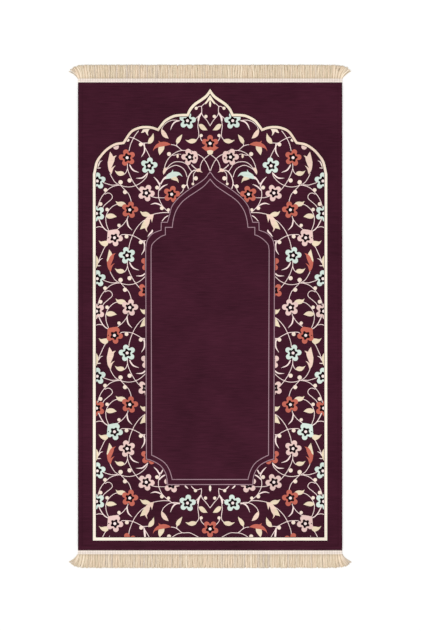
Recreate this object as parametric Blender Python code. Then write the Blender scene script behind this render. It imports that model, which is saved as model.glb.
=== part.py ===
"""Prayer rug: one woven cloth with turned hems, and a fringed tape sewn under each of its two ends.

The frame is the rug's own: +X across it, +Y from the foot end to the pointed head of the arch, +Z up.
The origin is in the middle of the rug, on the floor that it lies on.
"""

import math
import random
from collections import namedtuple

import bmesh
import bpy
from mathutils import Vector

MM = 0.001

Step = namedtuple("Step", "inset_mm height_mm")
Section = namedtuple("Section", "share_of_length width_share crown_share height_mm")
Finish = namedtuple("Finish", "name colour roughness")

# The woven cloth
CLOTH_WIDTH = 650 * MM
CLOTH_LENGTH = 1150 * MM
FIELD_THICK = 2.2 * MM

# The cloth's rim, from its underside round the turned edge and in over the hem to the single cloth
RIM = (
    Step(0.8, 0.0),
    Step(0.0, 0.9),
    Step(0.0, 2.9),
    Step(0.9, 3.6),
    Step(3.5, 3.9),
    Step(7.5, 3.8),
    Step(9.6, 3.5),
    Step(10.6, 2.9),
    Step(12.0, 2.8),
    Step(15.0, FIELD_THICK / MM),
)

# The fringe's tape. Its inner part lies under the end of the cloth, and its outer part shows.
TAPE_THICK = 1.4 * MM
TAPE_SHOWN = 10 * MM
TAPE_UNDER_CLOTH = 9 * MM
SEAM_GAP = 0.3 * MM

# The fringe's strands
STRAND_COUNT = 106
STRAND_PITCH = CLOTH_WIDTH / STRAND_COUNT
STRAND_WIDTH = 4.7 * MM
STRAND_LENGTH = 34.5 * MM
STRAND_UNEVEN = 0.35 * MM
STRAND_TRIM = 0.8 * MM

# The outermost strands splay: the corner one by all of FLARE, and each further in by less
FLARE = 24 * MM
FLARE_FADE = 13 * MM
FLARE_SHOWS = 1.5 * MM
# A strand fans out into part of the room that its splayed neighbour leaves beside it
FANNING = 0.5

# A strand's cross-section on its way from the tape to its tip
STRAIGHT_SECTIONS = (
    Section(0.16, 1.00, 0.62, 3.0),
    Section(0.72, 0.98, 0.60, 3.0),
    Section(1.00, 0.62, 0.40, 1.5),
)
SPLAYED_SECTIONS = (
    Section(0.16, 1.00, 0.62, 3.0),
    Section(0.36, 1.00, 0.62, 3.0),
    Section(0.58, 0.98, 0.60, 3.0),
    Section(0.80, 0.94, 0.58, 2.8),
    Section(1.00, 0.60, 0.40, 1.5),
)
# How far back along a strand its direction is measured from, as a share of its length
DIRECTION_STEP = 0.01

PLUM_CLOTH = Finish("plum_cloth", (0.0545, 0.0110, 0.0241), 0.9)
ECRU_YARN = Finish("ecru_yarn", (0.716, 0.578, 0.423), 0.75)


def clear_scene():
    """Leaves nothing in the scene but what this file makes."""
    for obj in list(bpy.data.objects):
        bpy.data.objects.remove(obj)


def textile(finish):
    """The material for one textile finish."""
    material = bpy.data.materials.new(finish.name)
    material.use_nodes = True
    shader = material.node_tree.nodes["Principled BSDF"]
    shader.inputs["Base Color"].default_value = (*finish.colour, 1.0)
    shader.inputs["Roughness"].default_value = finish.roughness
    shader.inputs["Metallic"].default_value = 0.0
    return material


def object_from(bm, name, material):
    """Turns a finished bmesh into an object with its faces pointing out."""
    bmesh.ops.recalc_face_normals(bm, faces=bm.faces)
    mesh = bpy.data.meshes.new(name)
    bm.to_mesh(mesh)
    bm.free()
    mesh.materials.append(material)
    obj = bpy.data.objects.new(name, mesh)
    bpy.context.scene.collection.objects.link(obj)
    return obj


def rim_loop(bm, inset, height):
    """One rectangle of the cloth, inset from its edge, at one height."""
    half_width = CLOTH_WIDTH / 2 - inset
    half_length = CLOTH_LENGTH / 2 - inset
    corners = ((-1, -1), (1, -1), (1, 1), (-1, 1))
    return [bm.verts.new((x * half_width, y * half_length, height)) for x, y in corners]


def cloth_body(material):
    """The whole cloth as one closed slab, thicker where its edge is turned under."""
    bm = bmesh.new()
    loops = [rim_loop(bm, step.inset_mm * MM, step.height_mm * MM) for step in RIM]
    for outer, inner in zip(loops, loops[1:]):
        for k in range(4):
            following = (k + 1) % 4
            bm.faces.new((outer[k], outer[following], inner[following], inner[k]))
    bm.faces.new(list(reversed(loops[0])))
    bm.faces.new(loops[-1])
    return object_from(bm, "rug_cloth", material)


def tape_seat(end):
    """The cutter for the space under one end of the cloth, where the tape goes."""
    depth = TAPE_UNDER_CLOTH + SEAM_GAP
    height = TAPE_THICK + SEAM_GAP
    overrun = 20 * MM
    inner = CLOTH_LENGTH / 2 - depth
    outer = CLOTH_LENGTH / 2 + overrun
    size = Vector((CLOTH_WIDTH + 2 * overrun, outer - inner, height + overrun))
    bpy.ops.mesh.primitive_cube_add(size=1.0, location=(0, 0, 0))
    cutter = bpy.context.object
    cutter.name = "tape_seat_cutter"
    cutter.data.transform(
        ((size.x, 0, 0, 0), (0, size.y, 0, 0), (0, 0, size.z, 0), (0, 0, 0, 1))
    )
    cutter.location = (0, end * (inner + outer) / 2, height - size.z / 2)
    cutter.hide_render = True
    cutter.display_type = "WIRE"
    return cutter


def woven_cloth(material):
    """The cloth with a seat for a tape under each end."""
    cloth = cloth_body(material)
    for end in (1, -1):
        cut = cloth.modifiers.new("tape_seat", "BOOLEAN")
        cut.operation = "DIFFERENCE"
        cut.object = tape_seat(end)
    return cloth


def splay(root_x):
    """How far a strand's tip stands outwards of its root."""
    inwards = CLOTH_WIDTH / 2 - STRAND_PITCH / 2 - abs(root_x)
    return math.copysign(FLARE * math.exp(-inwards / FLARE_FADE), root_x)


def fanned_width(root_x, share):
    """A strand's full width at one share of its length, more where the strands splay."""
    opening = abs(splay(root_x)) / FLARE_FADE
    return STRAND_WIDTH * (1 + FANNING * opening * share**2)


def strand_point(root_x, tip_shift, length, share):
    """A point on the middle of a strand: it leaves the tape straight and bends outwards."""
    root_y = CLOTH_LENGTH / 2 + TAPE_SHOWN
    reach = math.sqrt(length**2 - tip_shift**2)
    return Vector((root_x + tip_shift * share**2, root_y + reach * share, 0))


def strand_sections(bm, root_x, rng, is_edge, is_middle):
    """The rings of four points round one strand, from just outside the tape to its tip."""
    shift = splay(root_x)
    length = STRAND_LENGTH
    if not (is_edge or is_middle):
        shift += rng.uniform(-STRAND_UNEVEN, STRAND_UNEVEN)
        length -= rng.uniform(0, STRAND_TRIM)
    table = SPLAYED_SECTIONS if abs(splay(root_x)) > FLARE_SHOWS else STRAIGHT_SECTIONS
    rings = []
    for section in table:
        share = section.share_of_length
        middle = strand_point(root_x, shift, length, share)
        along = middle - strand_point(root_x, shift, length, share - DIRECTION_STEP)
        half_width = fanned_width(root_x, share) * section.width_share / 2
        across = Vector((along.y, -along.x, 0)).normalized() * half_width
        crown = Vector((0, 0, section.height_mm * MM))
        corners = (
            middle - across,
            middle + across,
            middle + across * section.crown_share + crown,
            middle - across * section.crown_share + crown,
        )
        rings.append([bm.verts.new(corner) for corner in corners])
    return rings


def tape_column(bm, x):
    """The tape's outer low, outer high, inner high and inner low edge, at one place across the rug."""
    outer = CLOTH_LENGTH / 2 + TAPE_SHOWN
    inner = CLOTH_LENGTH / 2 - TAPE_UNDER_CLOTH
    places = ((outer, 0), (outer, TAPE_THICK), (inner, TAPE_THICK), (inner, 0))
    return [bm.verts.new((x, y, z)) for y, z in places]


def fringed_tape(name, turn, seed, material):
    """A tape across one end, its strands growing out of its outer edge, as one closed solid."""
    bm = bmesh.new()
    rng = random.Random(seed)
    roots = [(k - (STRAND_COUNT - 1) / 2) * STRAND_PITCH for k in range(STRAND_COUNT)]
    sides = [side for x in roots for side in (x - STRAND_WIDTH / 2, x + STRAND_WIDTH / 2)]
    places = [-CLOTH_WIDTH / 2, *sides, CLOTH_WIDTH / 2]
    columns = [tape_column(bm, x) for x in places]
    for left, right in zip(columns, columns[1:]):
        for k in (1, 2, 3):
            following = (k + 1) % 4
            bm.faces.new((left[k], right[k], right[following], left[following]))
    for left, right in zip(columns[0::2], columns[1::2]):
        bm.faces.new((left[0], right[0], right[1], left[1]))
    for end_column in (columns[0], columns[-1]):
        bm.faces.new(end_column)
    for index, root_x in enumerate(roots):
        left, right = columns[2 * index + 1], columns[2 * index + 2]
        is_edge = index in (0, STRAND_COUNT - 1)
        rings = [[left[0], right[0], right[1], left[1]]]
        rings += strand_sections(bm, root_x, rng, is_edge, index == STRAND_COUNT // 2)
        for near, far in zip(rings, rings[1:]):
            for k in range(4):
                following = (k + 1) % 4
                bm.faces.new((near[k], near[following], far[following], far[k]))
        bm.faces.new(rings[-1])
    obj = object_from(bm, name, material)
    obj.rotation_euler.z = turn
    return obj


def main():
    clear_scene()
    yarn = textile(ECRU_YARN)
    woven_cloth(textile(PLUM_CLOTH))
    fringed_tape("fringe_head", turn=0.0, seed=11, material=yarn)
    fringed_tape("fringe_foot", turn=math.pi, seed=29, material=yarn)


main()
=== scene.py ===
import math
import random
from collections import namedtuple

import bpy
import numpy as np
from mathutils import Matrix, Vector
from mathutils.geometry import delaunay_2d_cdt


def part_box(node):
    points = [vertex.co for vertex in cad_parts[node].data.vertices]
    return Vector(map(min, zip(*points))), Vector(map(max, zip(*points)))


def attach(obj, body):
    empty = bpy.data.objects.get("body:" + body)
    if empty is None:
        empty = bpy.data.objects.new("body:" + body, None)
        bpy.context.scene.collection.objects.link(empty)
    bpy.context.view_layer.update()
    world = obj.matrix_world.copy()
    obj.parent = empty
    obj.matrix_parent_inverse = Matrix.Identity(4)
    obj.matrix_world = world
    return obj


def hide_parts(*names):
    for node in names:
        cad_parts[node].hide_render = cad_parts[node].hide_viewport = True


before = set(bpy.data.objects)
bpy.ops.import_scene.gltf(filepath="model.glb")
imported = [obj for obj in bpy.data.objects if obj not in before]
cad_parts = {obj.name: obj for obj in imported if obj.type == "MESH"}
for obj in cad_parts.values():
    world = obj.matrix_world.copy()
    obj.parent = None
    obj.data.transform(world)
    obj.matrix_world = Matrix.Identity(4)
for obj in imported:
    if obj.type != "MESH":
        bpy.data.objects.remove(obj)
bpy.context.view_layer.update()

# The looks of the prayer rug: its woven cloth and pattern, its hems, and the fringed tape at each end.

MM = 0.001

# ---------------------------------------------------------------------------------------------
# Sizes, in millimetres. The cloth and the tapes take theirs from the frame.
# ---------------------------------------------------------------------------------------------

CLOTH_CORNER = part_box("rug_cloth")[1]
HALF_WIDTH = CLOTH_CORNER.x / MM
HALF_LENGTH = CLOTH_CORNER.y / MM
RUG_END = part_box("fringe_head")[1].y / MM

# Two places this near to each other are the same one
TOUCHING = 0.001

# The cloth's top, from its rim in over the turned hem to the single cloth
HemStep = namedtuple("HemStep", "inset height")
HEM_TOP = (
    HemStep(0.9, 3.55),
    HemStep(2.0, 3.80),
    HemStep(3.6, 3.90),
    HemStep(6.5, 3.85),
    HemStep(8.6, 3.70),
    HemStep(9.8, 3.35),
    HemStep(10.6, 2.95),
    HemStep(11.4, 2.90),
    HemStep(12.8, 2.65),
    HemStep(15.0, 2.25),
    HemStep(17.0, 2.20),
)
RIM_X = HALF_WIDTH - HEM_TOP[0].inset
RIM_Y = HALF_LENGTH - HEM_TOP[0].inset
# The turned edge, from the top's rim round to the underside
HEM_EDGE = (
    HemStep(0.35, 3.15),
    HemStep(0.05, 2.55),
    HemStep(0.0, 1.70),
    HemStep(0.15, 0.80),
    HemStep(0.45, 0.25),
    HemStep(0.9, 0.0),
)
TAPE_SEAT_DEPTH = 9.3
TAPE_SEAT_HEIGHT = 1.7
SEAT_STEP = 0.1

# A laid cloth is never quite flat
SWELL_HEIGHT = 0.22
SWELL_LENGTH = 170
SWELL_FADES_IN = 40
GRID = 12
# Points of the cloth's net that are nearer together than this become one, and points this near to the middle
# line are put on it
NET_MERGES = 0.02
MIDDLE_MERGES = 0.01

# The cloth's own map: shares of its width for the upper face and the underside's strip, and the room round it
MAP_OVER = 0.88
MAP_UNDER_STARTS = 0.90
MAP_MARGIN = 5

# ---------------------------------------------------------------------------------------------
# The pattern on the left half, in millimetres, its points read off the photo of the rug under a grid.
# The right half is its mirror image.
# ---------------------------------------------------------------------------------------------

# How far apart the points of a curve are
CURVE_STEP = 2.8
FINE_STEP = 1.6
FEWEST_POINTS = 10
LOBE_POINTS = 14
DROP_POINTS = 16
THINNEST_STROKE = 0.3
# A mitred corner reaches no further than the line's distance divided by this
MITRE_LIMIT = 0.35

# The flower and vine repeat comes every 240 mm, a little shorter towards the foot. Each place lifts the
# chart of the repeat by so much, and may shift it towards the middle line. By the middle line the foot's
# last repeat isn't shortened. The upright bud by the head stands a little nearer to the middle.
Place = namedtuple("Place", "lift shift is_shortened")
HEAD = Place(239.3, 0, True)
UPPER = Place(-1, 0, True)
LOWER = Place(-241, 0, True)
FOOT = Place(-481, 0, True)
TAIL = Place(-720.2, 0.9, True)
BY_HEAD = Place(239.3, 2.2, True)
MIDDLE_TAIL = Place(-701, 0, False)
AS_DRAWN = Place(0, 0, False)
ALONG = (HEAD, UPPER, LOWER, FOOT, TAIL)
NOT_TAIL = ALONG[:-1]
NOT_HEAD = ALONG[1:]
BOTH_ENDS = (HEAD, FOOT)
MIDDLE = (HEAD, MIDDLE_TAIL)
SHORTENED_BELOW = -100
SHORTENING = 0.9e-4

# The cream band round the whole border: its outer edge from the arch's point to the foot, lobe by lobe.
# Here and below an outline is made of smooth runs, and each run ends where the next one starts.
KEYLINE_WIDTH = 1.4
BandPart = namedtuple("BandPart", "y width")
BAND_WIDTHS = (
    BandPart(-545, 7.3),
    BandPart(-535, 6.3),
    BandPart(350, 6.3),
    BandPart(390, 5.9),
    BandPart(455, 5.6),
    BandPart(475, 6.1),
    BandPart(500, 6.1),
    BandPart(520, 6.5),
    BandPart(537, 6.7),
    BandPart(560, 5.8),
)
BAND_OUTER = (
    ((0, 559.6), (-9.8, 545.8), (-19.8, 537.5), (-39.8, 523.8), (-51, 511)),
    ((-57.4, 498), (-70, 498), (-90, 495.3), (-110, 485), (-119.7, 474.8)),
    ((-129, 462.3), (-140.1, 466.3), (-155, 468.3), (-174.9, 466.4), (-195.8, 455.9)),
    ((-214.6, 429.3), (-234.8, 425.4), (-254.4, 413.7), (-269.3, 398.3), (-281.2, 380)),
    ((-288.1, 350),),
    ((-288.1, -540),),
    ((-288.1, -551.1),),
    ((0, -551.1),),
)

# The double line round the niche, from the arch's point to the foot
NICHE_LINE_WIDTH = 1.8
NICHE_KEYLINE = 1.5
NICHE_OUTER = (
    ((0, 355.5), (-5, 349), (-10, 342), (-20, 333), (-40, 320), (-60, 306), (-80, 289), (-94, 270),
     (-99.5, 250)),
    ((-105, 231.5),),
    ((-120, 231.5),),
    ((-120.5, 212), (-134.2, 207.2), (-142, 202.9), (-147.2, 198.2), (-151.3, 192.8), (-155.3, 185)),
    ((-158.3, 170),),
    ((-156.6, -350.5), (-140, -356), (-122, -367), (-110, -384), (-105.5, -402)),
    ((-104.5, -413.5),),
    ((0, -413.5),),
)
NICHE_INNER = (
    ((0, 337.5), (-10, 325.5), (-20, 316.5), (-40, 303), (-55, 293), (-70, 280), (-82, 263), (-88, 248),
     (-91.5, 232)),
    ((-93, 219),),
    ((-110, 219),),
    ((-110, 200.6), (-119.3, 197.2), (-127.6, 191.7), (-134.3, 186.2), (-139.8, 180.5), (-143.4, 175)),
    ((-145.2, 163),),
    ((-143.7, -341), (-125, -350.5), (-110, -362), (-100, -378), (-94, -397)),
    ((-93.5, -401),),
    ((0, -401),),
)

# Blossoms: five round petals, a dark star between them and a pale eye
PETALS = 5
Lobes = namedtuple("Lobes", "ring radius web")
PETAL_LOBES = Lobes(13.9, 6.9, 12.5)
STAR_LOBES = Lobes(8.1, 3.1, 7.9)
EYE_RADIUS = 3.65

Blossom = namedtuple("Blossom", "x y first_petal yarns web")
# The webs that join some petals of two of the blossoms, measured from their middles
CORNER_WEB = ((-16, -11), (-18, 0), (-16.5, 17.5), (-4, 20), (8, 21.5), (11, 14), (0, 6))
SIDE_WEB = ((6, 15), (15, 12), (19.5, 4), (20, -4), (17, -12), (8, -15), (4, 0))
BLOSSOMS = (
    Blossom(-235.2, 194.3, -7, {UPPER: "blush", LOWER: "coral", FOOT: "aqua", TAIL: "blush"}, CORNER_WEB),
    Blossom(-234, 191.5, -7, {HEAD: "blush"}, None),
    Blossom(-204, 151, 31, {HEAD: "coral", UPPER: "aqua", LOWER: "aqua", FOOT: "blush"}, None),
    Blossom(-201.4, -553.2, 31, {AS_DRAWN: "coral"}, None),
    Blossom(-277.4, 93.7, 16, dict.fromkeys(NOT_TAIL, "aqua"), None),
    Blossom(-279.2, 13.8, 38, {HEAD: "aqua", UPPER: "blush", LOWER: "coral", FOOT: "aqua"}, None),
    Blossom(-197.6, 22.8, 5, {HEAD: "coral", UPPER: "blush", LOWER: "coral", FOOT: "coral"}, None),
    Blossom(-157, 64.2, -5, {HEAD: "blush", UPPER: "coral", LOWER: "blush", FOOT: "blush"}, None),
    Blossom(-150, 131, 9, {HEAD: "aqua", UPPER: "coral", LOWER: "blush", FOOT: "coral"}, None),
    Blossom(-94.5, 61, 5, {HEAD: "coral"}, None),
    Blossom(-94, -412.9, 5, {AS_DRAWN: "blush"}, None),
    Blossom(-50, 152.5, 34, {HEAD: "blush"}, SIDE_WEB),
    Blossom(0, 186, 18, {HEAD: "coral"}, None),
    Blossom(0, -522.5, -18, {AS_DRAWN: "coral"}, None),
    Blossom(-55.7, 242, 9, {HEAD: "aqua", MIDDLE_TAIL: "aqua"}, None),
)
# Round spots: the small dark ones in the webs, and further on the berries
Spot = namedtuple("Spot", "places x y radius")
WEB_SPOTS = (
    Spot(ALONG, -250, 194.5, 1.5),
    Spot((HEAD,), -35.8, 150.3, 2.3),
)

# Strokes: vines of an even width, and sprigs that taper. The widths are those of the start, middle and end.
Stroke = namedtuple("Stroke", "places widths knots")
VINE = (1.5, 1.55, 1.5)
FIRM_VINE = (2.4, 2.3, 2.1)
SPRIG = (2.2, 3.2, 0.4)
THIN_SPRIG = (1.9, 2.1, 0.5)
SPINE = (2.6, 2.3, 0.5)
FADING_VINE = (1.6, 1.4, 0.8)
STROKES = (
    # the side's long vines
    Stroke(ALONG, VINE, ((-201.5, 8), (-203.5, 1), (-209.5, -8), (-216, -15.5), (-227, -24))),
    Stroke(ALONG, FIRM_VINE, ((-274.5, 2), (-269.5, -9), (-264.5, -18), (-258, -25.5), (-249, -31))),
    Stroke(ALONG, VINE, ((-283, -21.5), (-275, -19), (-270, -19), (-264, -20.5))),
    Stroke(ALONG, VINE, ((-226, 37), (-237.3, 32.8), (-249.2, 21.5), (-255.8, 7), (-256.3, -2),
                         (-254.8, -13), (-249, -29))),
    Stroke(ALONG, VINE, ((-220, 83.5), (-230, 82.5), (-240, 79.5), (-250, 73.3), (-264.5, 57.2),
                         (-272, 43), (-276.5, 28))),
    Stroke(ALONG, VINE, ((-259, 61), (-253, 63.8), (-247, 63.6), (-242, 59.5), (-240.3, 54),
                         (-242.7, 48.8), (-253, 40), (-261, 32.5), (-266, 23))),
    Stroke(ALONG, VINE, ((-267, 94), (-261, 89.5), (-247, 84.8), (-240, 83.5), (-228, 84.5))),
    Stroke(ALONG, VINE, ((-246, 113), (-243, 105), (-234, 91), (-224, 84))),
    Stroke(ALONG, VINE, ((-221, 84.5), (-214.5, 81), (-200, 79), (-185, 81.7), (-170, 89.7), (-157, 103),
                         (-153, 115))),
    Stroke(ALONG, VINE, ((-220, 83), (-209.3, 71.5), (-200.3, 61.5), (-195, 48), (-193.5, 36))),
    Stroke(ALONG, VINE, ((-203, 140), (-203, 125), (-198, 109), (-190, 93), (-181, 80), (-168, 65))),
    Stroke(ALONG, VINE, ((-203, 125), (-206, 116), (-211, 110))),
    Stroke(ALONG, VINE, ((-222, 198), (-217.5, 201.7), (-209, 202.3), (-192.5, 200.5), (-177.5, 193.5),
                         (-167, 187), (-160, 187), (-151, 187.5))),
    Stroke((AS_DRAWN,), VINE, ((-175.8, 456.5), (-183.7, 446.3), (-190.2, 435), (-195.8, 422),
                               (-199.5, 407))),
    Stroke(ALONG, VINE, ((-153, 3), (-169, -8.5), (-182, -24), (-191, -41), (-198, -61), (-200, -74))),
    Stroke(ALONG, VINE, ((-252, 178), (-259, 171), (-268, 152), (-274, 139))),
    Stroke(ALONG, VINE, ((-147.5, 144), (-148.5, 153), (-157.5, 171), (-167, 187))),
    Stroke(BOTH_ENDS, VINE, ((-123, 90), (-124, 82), (-127, 64), (-125.5, 50), (-117.5, 33), (-108, 22.5),
                             (-98, 14), (-90, 9), (-74, 7.5))),
    Stroke(BOTH_ENDS, FADING_VINE, ((-150, 58), (-140, 54.5), (-130, 52.5), (-105, 52.5))),
    Stroke(BOTH_ENDS, VINE, ((-141, 11.5), (-130, 14), (-115, 16), (-98, 15.5))),
    # the head's vines, some of which come again in the foot's middle
    Stroke(MIDDLE, VINE, ((-96, 183), (-88.5, 182.2), (-80, 178.4), (-75, 173.8), (-67.5, 168.8),
                          (-50, 168.7), (-33, 160.5), (-22, 154.5), (-15, 148.5))),
    Stroke(MIDDLE, VINE, ((-68, 169), (-80, 166), (-94, 157.5), (-104.3, 146), (-111, 131), (-115, 112))),
    Stroke((HEAD,), VINE, ((-56.2, 103), (-61, 117), (-69, 126.5), (-84, 132.3), (-98.3, 127.3),
                           (-107.5, 120.5), (-114, 111))),
    Stroke((HEAD,), VINE, ((-61.5, 137), (-69.5, 140.3), (-85, 140.8), (-95.3, 136), (-103.3, 128),
                           (-112, 113))),
    Stroke((HEAD,), VINE, ((-15, 147.5), (-10, 140), (-5, 130), (-2, 122), (0, 116))),
    Stroke((HEAD,), VINE, ((-3, 157.5), (-10, 152), (-15, 147.5), (-20, 141), (-24, 130), (-24, 120))),
    Stroke((HEAD,), THIN_SPRIG, ((-46, 134), (-40, 128), (-34, 123.5), (-27, 119.5))),
    Stroke((HEAD,), VINE, ((-55.5, 133), (-50.5, 124.5), (-45.5, 117))),
    Stroke((HEAD,), FIRM_VINE, ((-30, 121), (-42, 118.5), (-51, 108), (-56, 93), (-56, 84), (-52.5, 73))),
    Stroke((HEAD,), VINE, ((-34, 119), (-40, 112), (-41, 105), (-41, 90))),
    Stroke((HEAD,), VINE, ((-25, 203), (-21, 194), (-15, 188))),
    Stroke(MIDDLE, VINE, ((-29, 246), (-29, 238), (-30, 228), (-28, 212), (-28.5, 202), (-34, 194.5))),
    Stroke(MIDDLE, VINE, ((-80, 243), (-90, 243.5), (-97, 242), (-105, 238.5), (-115, 229.5),
                          (-119, 220))),
    Stroke(MIDDLE, VINE, ((-80, 177), (-82, 181), (-82, 186))),
    Stroke((AS_DRAWN,), VINE, ((-24.5, -497), (-20, -506.5), (-11, -515))),
    Stroke((AS_DRAWN,), (1.2, 2.2, 1.5), ((-119, 233.3), (-112.6, 241), (-107, 245.7), (-100, 248.8))),
    # the small sprigs
    Stroke(ALONG, SPRIG, ((-198, 134), (-194, 126), (-188, 119.5), (-175, 114.5))),
    Stroke(NOT_TAIL, SPRIG, ((-162.3, 186), (-161, 173), (-162.5, 163.5),
                                               (-169.5, 152))),
    Stroke((AS_DRAWN,), (2.2, 4.6, 2.4), ((-162.5, -519), (-161.3, -529), (-160.3, -539), (-160, -549))),
    Stroke(ALONG, SPRIG, ((-154, 113), (-160, 106.5), (-168, 101), (-182.5, 100.5))),
    Stroke(ALONG, SPRIG, ((-204.3, 1), (-203.6, -8), (-200.7, -17.5), (-191.7, -27.5))),
    Stroke(BOTH_ENDS, SPRIG, ((-119, 32.5), (-127, 36.8), (-136, 38.8), (-146.5, 35.8))),
    Stroke((HEAD,), SPRIG, ((-63, 57), (-59, 51), (-54, 45))),
    Stroke(MIDDLE, SPRIG, ((-74.5, 242.6), (-85.7, 239), (-92.7, 231.5), (-97.7, 219))),
    Stroke(BOTH_ENDS, SPRIG, ((-123, 80), (-126, 88), (-131, 96), (-139, 104))),
    Stroke(BOTH_ENDS, SPRIG, ((-125.3, 70.5), (-121, 75.8), (-115, 80.7), (-104, 86))),
    Stroke((HEAD,), THIN_SPRIG, ((-62, 81.5), (-59, 83), (-55, 88))),
    Stroke((HEAD,), FADING_VINE, ((-65, 78), (-67, 70), (-73.5, 62.5))),
    Stroke((HEAD,), FADING_VINE, ((-93, 157), (-85, 157.8), (-78, 160), (-71, 158.8))),
    Stroke(NOT_HEAD, SPINE, ((-275, 133), (-270.5, 140.5), (-263.5, 143.5))),
    Stroke((HEAD,), SPINE, ((-275.7, 129), (-272.5, 137), (-269.5, 141.5), (-264.5, 143.8))),
    Stroke(ALONG, THIN_SPRIG, ((-277, 125.5), (-273, 125.5), (-268.5, 126))),
    # the point of the arch
    Stroke((AS_DRAWN,), VINE, ((-13, 524), (-17, 520.5), (-21, 516), (-20.4, 509), (-20.8, 500))),
    Stroke((AS_DRAWN,), VINE, ((-21, 516.5), (-27, 516.3), (-32, 513.5))),
    Stroke((AS_DRAWN,), VINE, ((-20.8, 501), (-19, 495), (-14.7, 489.5), (-7.6, 481.5), (0, 468.5))),
    Stroke((AS_DRAWN,), (2.4, 4.8, 3.0), ((-20.8, 501), (-24, 496), (-27.5, 490), (-29, 480))),
    Stroke((AS_DRAWN,), VINE, ((-25, 495), (-31, 490.5), (-38, 484.5))),
    # the middle of the foot
    Stroke((AS_DRAWN,), VINE, ((-21.8, -422.5), (-21, -429), (-22.4, -440))),
    Stroke((AS_DRAWN,), VINE, ((-21.8, -423.5), (-28, -425.7), (-34, -427))),
    Stroke((AS_DRAWN,), THIN_SPRIG, ((-37, -426.5), (-42, -422), (-47.5, -416.5))),
    Stroke((AS_DRAWN,), FADING_VINE, ((-248.5, -548), (-247, -539))),
    Stroke((AS_DRAWN,), SPRIG, ((-62, -416), (-58, -420), (-53.5, -424))),
    Stroke((AS_DRAWN,), VINE, ((-22.4, -439), (-18.7, -447.8), (-10.3, -457.3), (0, -471))),
    Stroke((AS_DRAWN,), (2.4, 4.8, 3.0), ((-22.4, -439), (-26, -445), (-28.8, -450), (-30, -461))),
    Stroke((AS_DRAWN,), VINE, ((-27, -447), (-31, -449.5), (-38, -455))),
)

BERRIES = (
    Spot(NOT_HEAD, -205.5, 197.5, 4.7),
    Spot((HEAD,), -202.3, 194.3, 4),
    Spot(ALONG, -170.5, 183.5, 4.7),
    Spot(ALONG, -198, 95, 5.1),
    Spot(ALONG, -220.2, 90.5, 5.3),
    Spot(NOT_HEAD, -258.3, 70.4, 4.6),
    Spot((HEAD,), -257, 71.6, 4.6),
    Spot(ALONG, -209.3, 66.5, 5),
    Spot(ALONG, -269.5, 37, 4.7),
    Spot(ALONG, -253.3, 23.5, 4.3),
    Spot(ALONG, -224, -15.5, 4.1),
    Spot(BOTH_ENDS, -130.3, 77.5, 4.7),
    Spot(BOTH_ENDS, -118.5, 27, 4.7),
    Spot(BOTH_ENDS, -102.5, 22.5, 4),
    Spot(MIDDLE, -101, 160, 4.9),
    Spot((HEAD,), -35.2, 100.2, 5.1),
    Spot((HEAD,), -42.2, 86.6, 3.3),
    Spot((HEAD,), -65.5, 80.5, 4.7),
    Spot(MIDDLE, -22, 205.5, 4),
    Spot((AS_DRAWN,), -34.2, 511.8, 3.8),
    Spot((AS_DRAWN,), -10.3, 491.7, 4),
    Spot((AS_DRAWN,), -36, -428.4, 4),
    Spot((AS_DRAWN,), -11.3, -446.8, 4),
)

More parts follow.
